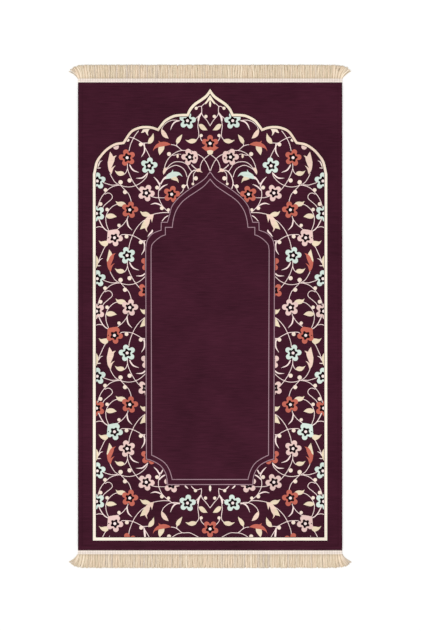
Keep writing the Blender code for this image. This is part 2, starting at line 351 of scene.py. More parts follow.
# Leaves and buds: closed outlines, the last run ending where the first one starts
Shape = namedtuple("Shape", "yarns runs")
SHAPES = (
    # leaves, from stem to tip and back
    Shape(dict.fromkeys(ALONG, "butter"),
          (((-257, 172.5), (-263, 174.3), (-269, 178.8)),
           ((-274.5, 188), (-268, 185), (-260, 186.5), (-252, 186), (-251, 178)))),
    Shape(dict.fromkeys(ALONG, "butter"),
          (((-210, 110.5), (-216, 107), (-223, 106.6), (-229, 110.5)),
           ((-234.5, 119.5), (-228, 116.8), (-220, 117.8), (-213.5, 116)))),
    Shape(dict.fromkeys(ALONG, "butter"),
          (((-205, 34), (-214, 31), (-222, 31.5), (-228, 35)),
           ((-232.5, 45), (-227, 42), (-219, 43), (-211, 41)))),
    Shape(dict.fromkeys(ALONG, "butter"),
          (((-257, 7), (-251, 12.3), (-244, 13.7), (-237, 11.8)),
           ((-229.5, 5.7), (-236, 3.6), (-243, 1.4), (-251, 1.8)))),
    Shape(dict.fromkeys(NOT_TAIL, "butter"),
          (((-147, 11), (-153, 16), (-160, 18), (-166, 17)),
           ((-172.5, 20), (-168.5, 12), (-163.5, 7), (-155, 6)))),
    Shape(dict.fromkeys(ALONG, "butter"),
          (((-284, 155), (-277.5, 147), (-274.5, 138), (-275.5, 130), (-279, 121)),
           ((-284, 114),))),
    Shape({HEAD: "butter", TAIL: "butter"},
          (((-153, 185.5), (-146, 186), (-139.7, 192), (-138.3, 201)),
           ((-139.5, 211.5), (-144.5, 203.5), (-150, 198), (-152.5, 191.5)))),
    Shape(dict.fromkeys(MIDDLE, "peach"),
          (((-120, 222.5), (-113.5, 217.5), (-107.5, 210)),
           ((-102, 198), (-110.5, 200), (-117, 205), (-120.3, 213)))),
    Shape(dict.fromkeys(MIDDLE, "butter"),
          (((-81, 184.5), (-84, 191), (-80, 200)),
           ((-68.3, 208.5), (-71, 198), (-75, 189.5)))),
    Shape(dict.fromkeys(MIDDLE, "butter"),
          (((-32, 194.5), (-39, 197), (-47, 197), (-53, 194)),
           ((-61, 195), (-54, 189), (-46, 186), (-37, 188.5)))),
    Shape(dict.fromkeys(MIDDLE, "butter"),
          (((-28.5, 232.5), (-21, 234), (-14, 229)),
           ((-6.5, 218.5), (-17, 218.5), (-24, 223)))),
    # the side's upright bud
    Shape({BY_HEAD: "peach", UPPER: "coral", LOWER: "peach", FOOT: "coral"},
          (((-244.5, 110), (-242.4, 118), (-239.8, 125)),
           ((-234.6, 132), (-240.5, 128.7)),
           ((-245.3, 125), (-240.6, 136), (-237.5, 144), (-236.3, 151)),
           ((-231.9, 156.5), (-237, 155.3)),
           ((-240.6, 153.8), (-243.8, 160)),
           ((-248, 165.7), (-250.2, 157), (-252.3, 147.5)),
           ((-254, 139.7), (-253.2, 129), (-250.6, 118.5)))),
    Shape({UPPER: "butter", FOOT: "butter"},
          (((-248, 165.7), (-243.8, 160)),
           ((-240.6, 153.8), (-244.3, 150.3), (-247.6, 145.5), (-249.8, 139.5)),
           ((-253.4, 135), (-254, 139.7), (-252.3, 147.5), (-250.2, 157)))),
    # the bud that hangs by the niche
    Shape(dict.fromkeys(NOT_TAIL, "peach"),
          (((-138.3, 12), (-148.5, 10.7), (-155.2, 5)),
           ((-161.3, -3), (-166.3, -10.5)),
           ((-172.4, -25.6), (-164.3, -23.2)),
           ((-160, -22.3), (-157.7, -27.3)),
           ((-153.5, -32.3), (-155.6, -25.5), (-155, -20.8), (-151.6, -15), (-149.2, -9), (-148, -3)),
           ((-146.2, 1.6), (-144.9, -1.5)),
           ((-143, -8.4), (-141, 0.5)))),
    Shape(dict.fromkeys(NOT_TAIL, "butter"),
          (((-161.3, -3), (-166.3, -10.5)),
           ((-172.4, -25.6), (-164.3, -23.2)),
           ((-160, -22.3), (-157.7, -14)))),
    # the head's two lying buds
    Shape(dict.fromkeys(MIDDLE, "coral"),
          (((-96, 183), (-101.5, 186.8), (-108.5, 189.6), (-116, 190.2), (-121.5, 189.3)),
           ((-127.2, 193),),
           ((-125.5, 187.3), (-131, 184.2), (-136, 179), (-138.9, 173.5)),
           ((-140.9, 166.2), (-138, 170.9), (-134, 174.2), (-126, 176.6), (-117, 178), (-107, 180.6)))),
    Shape(dict.fromkeys(MIDDLE, "butter"),
          (((-126.3, 177), (-127.6, 171.5), (-127, 165)),
           ((-124.2, 157.3), (-117.5, 165.2), (-113.2, 172)),
           ((-112.2, 179.3), (-120, 178)))),
    Shape(dict.fromkeys(BOTH_ENDS, "aqua"),
          (((-112.5, 98), (-106.3, 108), (-100.5, 113), (-95.3, 115.6)),
           ((-91.2, 122),),
           ((-91, 116.3), (-84.5, 116.4), (-77, 115), (-71.6, 110.5)),
           ((-67.6, 103.8), (-73.5, 107.6), (-78.5, 107.4)),
           ((-83.6, 103.3), (-92, 101.5), (-101, 99.5)))),
    Shape(dict.fromkeys(BOTH_ENDS, "butter"),
          (((-84, 104.5), (-79.8, 99.5)),
           ((-76.8, 89), (-82, 93.7), (-89, 95.5)),
           ((-97.5, 99), (-92, 102.5)))),
    # that bud's stalk, and the calyxes
    Shape(dict.fromkeys(BOTH_ENDS, "vine"),
          (((-122.5, 86.5), (-118, 96), (-112.5, 103)),
           ((-107, 106.5),),
           ((-109, 99.5), (-114.7, 95.5), (-120.8, 84.5)))),
    Shape({HEAD: "peach"},
          (((-36, 120.5), (-31, 123.5), (-25, 124.5)),
           ((-24, 120),),
           ((-18.5, 114), (-27, 116.5), (-32, 116)))),
    Shape({HEAD: "peach"},
          (((-114.5, 109), (-116, 116)),
           ((-114, 124),),
           ((-107, 127.5), (-108, 119)))),
    Shape({HEAD: "coral"},
          (((2, 167), (-7, 166.5), (-14, 170.5)),
           ((-21, 176), (-15, 178.5)),
           ((-11, 183),),
           ((2, 184),))),
    Shape({HEAD: "butter"},
          (((2, 157.5), (-5, 159.5)),
           ((-8, 168), (-3, 169.5)),
           ((2, 169.5),))),
    # the piece of a hanging bud that shows under the third lobe
    Shape({AS_DRAWN: "berry"},
          (((-170.1, 451), (-167.6, 455)),
           ((-165, 459.8), (-157, 460.9)),
           ((-148.8, 460.5), (-151.6, 456.4), (-153.2, 451.5)),
           ((-151.9, 443.8), (-156.2, 448.6), (-158, 452.2)),
           ((-160.4, 454.6), (-163.5, 452.3)))),
    # the edge of a leaf that shows over the niche's shoulder
    Shape({AS_DRAWN: "vine"},
          (((-142, 214.3), (-145.6, 208.4), (-150.5, 202.7)),
           ((-154.3, 195), (-147, 200.5)),
           ((-141, 207.8), (-140.3, 211)))),
    # the arch's point
    Shape({AS_DRAWN: "cream"},
          (((2, 543), (0, 544), (-4, 538.5), (-8.5, 530.7)),
           ((-13, 525.3),),
           ((-11.5, 521.5), (-7, 525.3), (-3, 530), (0, 531.5)),
           ((2, 531),))),
)
# Hanging drops: two on the middle line, and one by the head's berries
Drop = namedtuple("Drop", "x y half_width half_height")
DROPS = (Drop(0, 522.4, 2.5, 7.8), Drop(0, -422.4, 2.8, 8), Drop(-79.9, 394.2, 2.7, 4.8))

# ---------------------------------------------------------------------------------------------
# The fringe and its tape, in millimetres
# ---------------------------------------------------------------------------------------------

LOCKS = 106
LOCK_PITCH = 2 * HALF_WIDTH / LOCKS
LOCK_LENGTH = 34.5
# A round yarn's cut end stays a little inside the lock's length
LONGEST_YARN = 34.35
TAPE_EDGE = RUG_END - LOCK_LENGTH
TAPE_UNDER_CLOTH = 9
TAPE_INNER = HALF_LENGTH - TAPE_UNDER_CLOTH
# The outermost yarns splay: the one at the corner by all of FLARE, and each further in by less
FLARE = 22
FLARE_FADE = 13
FLARE_STARTS = 0.35
# A splayed yarn is bent, so its sideways way takes more of its length than a straight one would
BEND_TAKES = 1.2
# A lock has a lower layer, which closes the gap to its neighbours, and an upper one, which makes its ridge
# and strays more from its straight way. Where the locks splay, each also fans out and has more yarns.
Layer = namedtuple("Layer", "yarns reach fan height uneven radius strays")
LOWER_LAYER = Layer(4, 2.3, 1.6, 1.05, 0.1, 1.0, 0.25)
UPPER_LAYER = Layer(2, 0.9, 1.6, 2.0, 0.3, 0.9, 1.0)
EXTRA_YARNS = 2.2
LOCK_LEAN = 1.0
LOCK_SWAY = 0.9
YARN_SWAY = 0.4
# How far round its wave a lock or a yarn comes along its length, in radians
LOCK_WAVE = 4.2
YARN_WAVE = 7.5
YARN_POINTS = 12
YARN_SHARES = [k / (YARN_POINTS - 1) for k in range(YARN_POINTS)]
YARN_SIDES = 6
YARN_TRIM = 2.2
YARN_END = 0.75
# A yarn's thickness at the tape, as a share of its full one, and the share of its length that this takes
YARN_ROOT = 0.82
YARN_DRAWN_IN = 0.25
# How far inside the tape a yarn starts. Its height there is a share of its layer's, which then rises so much
# over a whole length, never past the full height, and sinks a little by the end.
YARN_IN_TAPE = 0.8
YARN_STARTS_AT = 0.6
YARN_RISES = 3
YARN_SINKS = 0.14
# A lock's yarns are nearly of one tint
TINT_SPREAD = 0.45

Fringe = namedtuple("Fringe", "node end seed")
FRINGES = (Fringe("fringe_head", 1, 3), Fringe("fringe_foot", -1, 8))

# The tape's top: ribs with shallow grooves, a cord beside the cloth, and a line stitched down over the ribs
TAPE_THICK = 1.4
TAPE_STARTS = 0.2
TAPE_SLOPE = 1.2
RIB_HEIGHT = 0.95
RIB_GROOVE = 0.25
RIB_COLUMNS = 6
TapeLine = namedtuple("TapeLine", "out half_width")
CORD = TapeLine(2.4, 1.3)
CORD_HEIGHT = 0.45
STITCHED_LINE = TapeLine(5.0, 0.9)
STITCHED_DOWN = 0.42
# Where the rows of the tape's mesh lie, outwards from the cloth's edge
TAPE_ROWS = (0.1, 0.8, 1.6, 2.4, 3.3, 4.2, 5.0, 5.8, 6.8, 8.2, 9.6)
TAPE_OVERRUN = 0.4

STITCH_PITCH = 4.9
STITCH_LENGTH = 3.7
STITCH_THREAD = 0.55
STITCH_INSET = 10.6
# A stitch dips into the cloth at both its ends
StitchPoint = namedtuple("StitchPoint", "share rise")
STITCH = (
    StitchPoint(-0.5, -0.35),
    StitchPoint(-0.38, 0.1),
    StitchPoint(-0.14, 0.3),
    StitchPoint(0.14, 0.3),
    StitchPoint(0.38, 0.1),
    StitchPoint(0.5, -0.35),
)

# Faces that meet at more than so many degrees have a sharp edge between them
TAPE_CREASE = 50
YARN_CREASE = 75

# ---------------------------------------------------------------------------------------------
# Colours and light
# ---------------------------------------------------------------------------------------------

# Round the arch's lobes the band's cream looks darker: its tones by how far up the rug they are
Tone = namedtuple("Tone", "y colour")
BAND_TONES = (
    Tone(345, "#F5E9D8"),
    Tone(390, "#EFD7C3"),
    Tone(425, "#EDD5C1"),
    Tone(457, "#E2CCB7"),
    Tone(471, "#EFE0C9"),
)
COLOURS = {
    "ground": "#3D1726",
    "field": "#3F1928",
    "star": "#1B0810",
    "cream": BAND_TONES,
    "niche_line": "#A58791",
    "vine": "#F5DFD9",
    "berry": "#EFDCCB",
    "eye": "#F2E0DC",
    "coral": "#BE6556",
    "aqua": "#CFDED4",
    "blush": "#E3C3BC",
    "peach": "#EBCEBC",
    "butter": "#E6D4B8",
}
YARN_ORDER = tuple(COLOURS)
# How much the dye changes from pick to pick: more in the dark cotton
DARK_YARNS = ("ground", "field", "star")
DARK_STREAK = 0.30
PALE_STREAK = 0.15
THREAD_COLOUR = "#36141F"
THREAD_STREAK = 0.05
TAPE_COLOUR = "#ECDFD4"
FLOOR_COLOUR = "#FBFBFA"

# The ecru yarn's tints from lock to lock: greyish, cream, peach, straw and light
Tint = namedtuple("Tint", "position colour")
YARN_TINTS = (
    Tint(0.08, "#DDCFC1"),
    Tint(0.3, "#EDDDC6"),
    Tint(0.5, "#F3DFC8"),
    Tint(0.7, "#E2D3BA"),
    Tint(0.92, "#FBECD7"),
)

WORLD_LIGHT = 0.80
LAMP_LIGHT = 1.12
LAMP_ANGLE = 50
LAMP_TURN = (math.radians(28), math.radians(-22), 0)

PHOTO_WIDTH_PX = 421
PHOTO_HEIGHT_PX = 631
MM_PER_PX = 2.459
AIM_X = 1.0
AIM_Y = 2.2
LENS_MM = 100
SENSOR_MM = 36
FARTHEST_SEEN = 100
FLOOR_SIZE = 200
FLOOR_DROP = 0.1


# ---------------------------------------------------------------------------------------------
# Curves and outlines
# ---------------------------------------------------------------------------------------------


def smooth(knots):
    """Points along a smooth curve through the knots, its two ends included."""
    knots = [Vector(k) for k in knots]
    if len(knots) == 2:
        return knots
    around = [2 * knots[0] - knots[1], *knots, 2 * knots[-1] - knots[-2]]
    points = []
    for a, b, c, d in zip(around, around[1:], around[2:], around[3:]):
        pieces = max(1, round((c - b).length / CURVE_STEP))
        for k in range(pieces):
            t = k / pieces
            bend = 2 * a - 5 * b + 4 * c - d
            twist = 3 * b - a - 3 * c + d
            points.append(0.5 * (2 * b + (c - a) * t + bend * t**2 + twist * t**3))
    return [*points, knots[-1]]


def joined(runs):
    """The line through smooth runs that meet in corners, up to where the last one starts."""
    line = []
    for run, following in zip(runs, runs[1:]):
        line += smooth([*run, following[0]])[:-1]
    return line


def mirrored(runs):
    """A whole closed outline, from the runs of its left half, which start and end on the middle line."""
    half = [*joined(runs), Vector(runs[-1][0])]
    return half + [Vector((-p.x, p.y)) for p in reversed(half[1:-1])]


def offset(outline, distance):
    """The outline that runs to the left of another, with mitred corners. Its distance may go by the place."""
    moved = []
    for before, point, after in zip([outline[-1], *outline], outline, [*outline[1:], outline[0]]):
        leaving = (after - point).normalized()
        along = ((point - before).normalized() + leaving).normalized()
        across = Vector((-along.y, along.x))
        mitre = max(MITRE_LIMIT, across.dot(Vector((-leaving.y, leaving.x))))
        reach = distance(point) if callable(distance) else distance
        moved.append(point + across * (reach / mitre))
    return moved


def band_width(point):
    """How wide the band is at a place: wider across the foot, and narrow at the arch's point."""
    return float(np.interp(point.y, [part.y for part in BAND_WIDTHS], [part.width for part in BAND_WIDTHS]))


def band_and_key(point):
    """How far the inside of the band's dark edge is from the band's outside."""
    return band_width(point) + KEYLINE_WIDTH


def oval(middle, half_width, half_height, count):
    """A round or oval outline of so many points."""
    outline = []
    for k in range(count):
        turn = 2 * math.pi * k / count
        x = middle.x + half_width * math.cos(turn)
        y = middle.y + half_height * math.sin(turn)
        outline.append(Vector((x, y)))
    return outline


def circle(middle, radius):
    """A round outline."""
    return oval(middle, radius, radius, max(FEWEST_POINTS, round(2 * math.pi * radius / FINE_STEP)))


def placed(point, place):
    """Where a point of the repeat's chart lies on the rug."""
    y = point[1] + place.lift
    if place.is_shortened and y < SHORTENED_BELOW:
        y += SHORTENING * (y - SHORTENED_BELOW) ** 2
    return Vector((point[0] + place.shift, y))


def stroke_outline(stroke, place):
    """The outline of a vine or sprig along its knots."""
    line = smooth([placed(k, place) for k in stroke.knots])
    start, middle, end = stroke.widths
    left, right = [], []
    for k, point in enumerate(line):
        t = k / (len(line) - 1)
        width = start * (1 - t) * (1 - 2 * t) + middle * 4 * t * (1 - t) + end * t * (2 * t - 1)
        before = line[max(0, k - 1)]
        after = line[min(len(line) - 1, k + 1)]
        along = (after - before).normalized()
        across = Vector((-along.y, along.x)) * max(width, THINNEST_STROKE) / 2
        left.append(point + across)
        right.append(point - across)
    return left + right[::-1]


def lobed_outline(middle, first_lobe, lobes):
    """A ring of five round lobes, joined by a round web. Petals and the dark star are both drawn with it."""
    outline = []
    for k in range(PETALS * LOBE_POINTS):
        lobe, sample = divmod(k, LOBE_POINTS)
        off_axis = (sample / LOBE_POINTS - 0.5) * 2 * math.pi / PETALS
        sideways = lobes.ring * math.sin(off_axis)
        reach = lobes.web
        if abs(sideways) < lobes.radius:
            reach = max(reach, lobes.ring * math.cos(off_axis) + math.sqrt(lobes.radius**2 - sideways**2))
        turn = math.radians(first_lobe) + lobe * 2 * math.pi / PETALS + off_axis
        outline.append(middle + Vector((math.cos(turn), math.sin(turn))) * reach)
    return outline


def round_spots(yarn, table):
    """Round spots of one yarn, as (yarn, outline), at all their places."""
    drawn = []
    for spot in table:
        drawn += [(yarn, circle(placed((spot.x, spot.y), place), spot.radius)) for place in spot.places]
    return drawn


def motifs():
    """Every motif as (yarn, outline), the lowest first."""
    drawn = []
    for stroke in STROKES:
        drawn += [("vine", stroke_outline(stroke, place)) for place in stroke.places]
    for shape in SHAPES:
        for place, yarn in shape.yarns.items():
            runs = [[placed(p, place) for p in run] for run in shape.runs]
            drawn.append((yarn, joined([*runs, runs[0]])))
    drawn += round_spots("berry", BERRIES)
    for drop in DROPS:
        drawn.append(("cream", oval(drop, drop.half_width, drop.half_height, DROP_POINTS)))
    for blossom in BLOSSOMS:
        for place, yarn in blossom.yarns.items():
            middle = placed((blossom.x, blossom.y), place)
            drawn.append((yarn, lobed_outline(middle, blossom.first_petal, PETAL_LOBES)))
            if blossom.web:
                drawn.append((yarn, [middle + Vector(p) for p in blossom.web]))
            drawn.append(("star", lobed_outline(middle, blossom.first_petal, STAR_LOBES)))
            drawn.append(("eye", circle(middle, EYE_RADIUS)))
    return drawn + round_spots("star", WEB_SPOTS)


# ---------------------------------------------------------------------------------------------
# The cloth
# ---------------------------------------------------------------------------------------------


def inside(spots, outline):
    """Which of the spots lie inside a closed outline."""
    found = np.zeros(len(spots), bool)
    low = np.min(outline, axis=0)
    high = np.max(outline, axis=0)
    near = np.flatnonzero(np.all((spots >= low) & (spots <= high), axis=1))
    x, y = spots[near].T
    hit = np.zeros(len(near), bool)
    for a, b in zip(outline, [*outline[1:], outline[0]]):
        if a.y == b.y:
            continue
        crosses = (a.y > y) != (b.y > y)
        hit ^= crosses & (x < (b.x - a.x) * (y - a.y) / (b.y - a.y) + a.x)
    found[near] = hit
    return found


def inset_of(x, y):
    """How far a point lies inside the cloth's edge."""
    return min(HALF_WIDTH - abs(x), HALF_LENGTH - abs(y))


def cloth_height(x, y):
    """The height of the cloth's upper face."""
    inset = inset_of(x, y)
    hem = float(np.interp(inset, [s.inset for s in HEM_TOP], [s.height for s in HEM_TOP]))
    rise = min(1, max(0, (inset - HEM_TOP[-1].inset) / SWELL_FADES_IN))
    # two slow waves, each bent a little by the other's way
    right = 2 * math.pi * x / SWELL_LENGTH
    up = 2 * math.pi * y / SWELL_LENGTH
    swell = math.sin(right + 0.8 * math.sin(up / 2.3)) + math.sin(up / 1.6 + 1.1 * math.sin(right / 1.9))
    return hem + SWELL_HEIGHT * rise * rise * (3 - 2 * rise) * swell


def seat_height(y):
    """The height of the cloth's underside: it lies on the floor, and over the tape at each end."""
    return TAPE_SEAT_HEIGHT if abs(y) > HALF_LENGTH - TAPE_SEAT_DEPTH else 0.0


class Chart:
    """The left half of the pattern as a net of points and edges, from which the cloth's faces are made."""

    def __init__(self):
        self.points = []
        self.edges = []

    def add(self, outline, is_closed=True):
        """Adds an outline, apart from what lies well over the middle line."""
        first = len(self.points)
        self.points += [(p.x, p.y) for p in outline]
        count = len(outline)
        for k in range(count if is_closed else count - 1):
            a, b = k, (k + 1) % count
            if min(outline[a].x, outline[b].x) < GRID / 4:
                self.edges.append((first + a, first + b))

    def faces(self):
        """(points, triangles) of the left half."""
        net = delaunay_2d_cdt([Vector(p) for p in self.points], self.edges, [], 0, NET_MERGES)
        points, _, triangles, *_ = net
        return np.array([tuple(p) for p in points]), np.array([tuple(t) for t in triangles])


def add_ground(chart):
    """The half cloth's own net: its edges, the lines of its hem, and a loose grid."""
    for step in HEM_TOP:
        side = HALF_WIDTH - step.inset
        end = HALF_LENGTH - step.inset
        chart.add([Vector(p) for p in ((0, end), (-side, end), (-side, -end), (0, -end))], is_closed=False)
    chart.add([Vector((0, RIM_Y)), Vector((0, -RIM_Y))], is_closed=False)
    for end in (1, -1):
        for step in (-SEAT_STEP / 2, SEAT_STEP / 2):
            y = end * (HALF_LENGTH - TAPE_SEAT_DEPTH + step)
            chart.add([Vector((-RIM_X, y)), Vector((0, y))], is_closed=False)
    inner = HEM_TOP[-1].inset
    columns = np.linspace(-HALF_WIDTH + inner, 0, round((HALF_WIDTH - inner) / GRID) + 1)[1:]
    rows = np.linspace(-HALF_LENGTH + inner, HALF_LENGTH - inner, round(2 * (HALF_LENGTH - inner) / GRID) + 1)
    chart.points += [(x, y) for x in columns for y in rows[1:-1]]


def woven_yarns(spots, band_lines, niche_lines, niche_key, drawn):
    """Which yarn shows at each spot, as its number in YARN_ORDER."""
    yarns = np.full(len(spots), YARN_ORDER.index("ground"))
    for yarn, outline in drawn:
        yarns[inside(spots, outline)] = YARN_ORDER.index(yarn)
    in_outer_key, in_band, in_inner_key, in_panel = (inside(spots, line) for line in band_lines)
    yarns[~in_panel] = YARN_ORDER.index("star")
    yarns[in_band & ~in_inner_key] = YARN_ORDER.index("cream")
    yarns[~in_outer_key] = YARN_ORDER.index("ground")
    yarns[inside(spots, niche_key)] = YARN_ORDER.index("ground")
    yarns[inside(spots, niche_lines[0][0])] = YARN_ORDER.index("field")
    for outer, inner in niche_lines:
        yarns[inside(spots, outer) & ~inside(spots, inner)] = YARN_ORDER.index("niche_line")
    return yarns


def half_cloth():
    """(points, triangles, yarns) of the left half's upper face."""
    band = mirrored(BAND_OUTER)
    band_lines = [offset(band, d) for d in (-KEYLINE_WIDTH, 0, band_width, band_and_key)]
    panel = band_lines[-1]
    niche = mirrored(NICHE_OUTER)
    half_line = NICHE_LINE_WIDTH / 2
    lines = (niche, mirrored(NICHE_INNER))
    niche_lines = [(offset(line, -half_line), offset(line, half_line)) for line in lines]
    niche_key = offset(niche, -half_line - NICHE_KEYLINE)
    drawn = []
    for yarn, outline in motifs():
        spots = np.array([tuple(p) for p in outline])
        if np.any(inside(spots, panel) & ~inside(spots, niche_key)):
            drawn.append((yarn, outline))
    chart = Chart()
    add_ground(chart)
    ruled = (*band_lines, niche_key, *niche_lines[0], *niche_lines[1])
    for outline in (*ruled, *(outline for _, outline in drawn)):
        chart.add(outline)
    points, triangles = chart.faces()
    middles = points[triangles].mean(axis=1)
    kept = (middles[:, 0] < 0) & (middles[:, 0] > -RIM_X) & (np.abs(middles[:, 1]) < RIM_Y)
    triangles = triangles[kept]
    yarns = woven_yarns(middles[kept], band_lines, niche_lines, niche_key, drawn)
    used = np.unique(triangles)
    renumbered = np.full(len(points), -1)
    renumbered[used] = np.arange(len(used))
    return points[used], renumbered[triangles], yarns


def rim_order(x, y):
    """Where a point of the rim comes on the way round, anticlockwise from the foot's left corner."""
    if y <= TOUCHING - RIM_Y:
        return x + RIM_X
    if x >= RIM_X - TOUCHING:
        return 2 * RIM_X + y + RIM_Y
    if y >= RIM_Y - TOUCHING:
        return 3 * RIM_X + 2 * RIM_Y - x
    return 4 * RIM_X + 3 * RIM_Y - y


def whole_top():
    """(points, faces, yarns) of the whole upper face: the left half and its mirror image."""
    half, triangles, yarns = half_cloth()
    on_middle = np.abs(half[:, 0]) < MIDDLE_MERGES
    half[on_middle, 0] = 0
    partner = np.where(on_middle, np.arange(len(half)), -1)
    partner[~on_middle] = len(half) + np.arange(np.count_nonzero(~on_middle))
    points = np.vstack([half, half[~on_middle] * (-1, 1)])
    a, b, c = (half[triangles[:, k]] for k in range(3))
    upward = (b[:, 0] - a[:, 0]) * (c[:, 1] - a[:, 1]) - (b[:, 1] - a[:, 1]) * (c[:, 0] - a[:, 0]) > 0
    left = np.where(upward[:, None], triangles, triangles[:, ::-1])
    return points, [*left.tolist(), *partner[left[:, ::-1]].tolist()], [*yarns.tolist(), *yarns.tolist()]


def turned_edge(points, places, spread, faces):
    """Adds the cloth's turned edge, ring by ring, to its places, its map and its faces. Gives back the last
    ring, as the numbers of its points."""
    rim = [k for k, (x, y) in enumerate(points) if abs(x) > RIM_X - TOUCHING or abs(y) > RIM_Y - TOUCHING]
    rim.sort(key=lambda k: rim_order(*points[k]))
    ring = rim
    travelled = 0.0
    for previous, step in zip((HEM_TOP[0], *HEM_EDGE), HEM_EDGE):
        travelled += math.hypot(step.inset - previous.inset, step.height - previous.height)
        first = len(places)
        for k in rim:
            x, y = points[k]
            low_x = x * (HALF_WIDTH - step.inset) / RIM_X
            low_y = y * (HALF_LENGTH - step.inset) / RIM_Y
            places.append((low_x, low_y, max(step.height, seat_height(low_y))))
            spread.append((x * (1 + travelled / RIM_X), y * (1 + travelled / RIM_Y)))
        following = list(range(first, first + len(rim)))
        for k in range(len(rim)):
            n = (k + 1) % len(rim)
            faces.append([ring[n], ring[k], following[k], following[n]])
        ring = following
    return ring


def underside(ring, places):
    """The faces of the underside: strips across the cloth, between the two sides of the edge's last ring."""
    near_side = HALF_WIDTH - HEM_EDGE[-1].inset - TOUCHING
    sides = ([k for k in ring if sign * places[k][0] > near_side] for sign in (-1, 1))
    left, right = (sorted(side, key=lambda k: places[k][1]) for side in sides)
    ends = []
    for corners in ((left[0], right[0]), (left[-1], right[-1])):
        level = places[corners[0]][1]
        row = [k for k in ring if abs(places[k][1] - level) < TOUCHING and k not in corners]
        ends.append(sorted(row, key=lambda k: places[k][0]))
    foot, head = ends
    faces = [[l0, l1, r1, r0] for l0, l1, r0, r1 in zip(left, left[1:], right, right[1:])]
    faces[0] += reversed(foot)
    faces[-1][2:2] = head
    return faces


def woven_cloth(materials):
    """The whole cloth: its upper face in the pattern's yarns, its turned edge and its underside."""
    points, faces, yarns = whole_top()
    places = [(x, y, cloth_height(x, y)) for x, y in points]
    spread = [(x, y) for x, y in points]
    ring = turned_edge(points, places, spread, faces)
    count_over = len(faces)
    faces += underside(ring, places)
    yarns += [YARN_ORDER.index("ground")] * (len(faces) - len(yarns))
    mesh = bpy.data.meshes.new("woven_cloth")
    mesh.from_pydata([(x * MM, y * MM, z * MM) for x, y, z in places], [], faces)
    for material in materials:
        mesh.materials.append(material)
    mesh.polygons.foreach_set("material_index", yarns)
    lay_out_cloth(mesh, spread, places, count_over)
    mesh.shade_smooth()
    mesh.validate()
    return add_to_scene("woven_cloth", mesh)


def lay_out_cloth(mesh, spread, places, count_over):
    """The cloth's own map: the upper face and edge fill most of it, the underside a strip beside them."""
    wide = 2 * (HALF_WIDTH + MAP_MARGIN)
    long = 2 * (HALF_LENGTH + MAP_MARGIN)
    layer = mesh.uv_layers.new(name="OFBake")
    for polygon in mesh.polygons:
        is_over = polygon.index < count_over
        for loop in polygon.loop_indices:
            index = mesh.loops[loop].vertex_index
            x, y = spread[index] if is_over else places[index][:2]
            share = (x + wide / 2) / wide
            u = share * MAP_OVER if is_over else MAP_UNDER_STARTS + share * (1 - MAP_UNDER_STARTS)
            layer.data[loop].uv = (u, (y + long / 2) / long)


def add_to_scene(name, mesh):
    """Puts a finished mesh into the scene as an object."""
    piece = bpy.data.objects.new(name, mesh)
    bpy.context.scene.collection.objects.link(piece)
    return piece


# ---------------------------------------------------------------------------------------------
# The fringed tapes
# ---------------------------------------------------------------------------------------------


def slab(name, columns, rows, height, end, material):
    """A closed strip with a shaped top and a flat underside, in millimetres, turned round at the foot."""
    wide, long = len(columns), len(rows)
    top = [(end * x, end * y, height(x, y)) for x in columns for y in rows]
    base = [(x, y, 0) for x, y, _ in top]
    under = len(top)
    faces = []
    for i in range(wide - 1):
        for j in range(long - 1):
            a, b, c, d = i * long + j, (i + 1) * long + j, (i + 1) * long + j + 1, i * long + j + 1
            faces.append((a, b, c, d))
            faces.append((under + d, under + c, under + b, under + a))
    rim = [i * long for i in range(wide)]
    rim += [(wide - 1) * long + j for j in range(1, long)]
    rim += [i * long + long - 1 for i in range(wide - 2, -1, -1)]
    rim += list(range(long - 2, 0, -1))
    for a, b in zip(rim, [*rim[1:], rim[0]]):
        faces.append((b, a, under + a, under + b))
    mesh = bpy.data.meshes.new(name)
    mesh.from_pydata([(x * MM, y * MM, z * MM) for x, y, z in top + base], [], faces)
    mesh.materials.append(material)
    mesh.shade_smooth()
    mesh.set_sharp_from_angle(angle=math.radians(TAPE_CREASE))
    return add_to_scene(name, mesh)


def line_strength(out, line):
    """How strongly a line along the tape shows so far out from the cloth's edge, from 0 to 1."""
    return math.exp(-(((out - line.out) / line.half_width) ** 2))


def tape_height(x, y):
    """The tape's top: a rib for each lock of the fringe, a cord beside the cloth and then a stitched line.
    It is low under the cloth."""
    out = y - HALF_LENGTH
    across = 0.5 + 0.5 * math.cos(2 * math.pi * (x / LOCK_PITCH - 0.5))
    shown = min(1, max(0, (out - TAPE_STARTS) / TAPE_SLOPE))
    edge = min(1, (TAPE_EDGE + TAPE_SLOPE / 2 - y) / TAPE_SLOPE)
    rib = RIB_HEIGHT * (RIB_GROOVE + (1 - RIB_GROOVE) * across)
    rib *= 1 - STITCHED_DOWN * line_strength(out, STITCHED_LINE)
    return TAPE_THICK + shown * edge * (rib + CORD_HEIGHT * line_strength(out, CORD))


def tape(name, end, material):
    """One tape, its inner part under the end of the cloth."""
    count = LOCKS * RIB_COLUMNS
    columns = [-HALF_WIDTH + 2 * HALF_WIDTH * k / count for k in range(count + 1)]
    rows = [TAPE_INNER, *(HALF_LENGTH + out for out in TAPE_ROWS), TAPE_EDGE + TAPE_OVERRUN]
    return slab(name, columns, rows, tape_height, end, material)


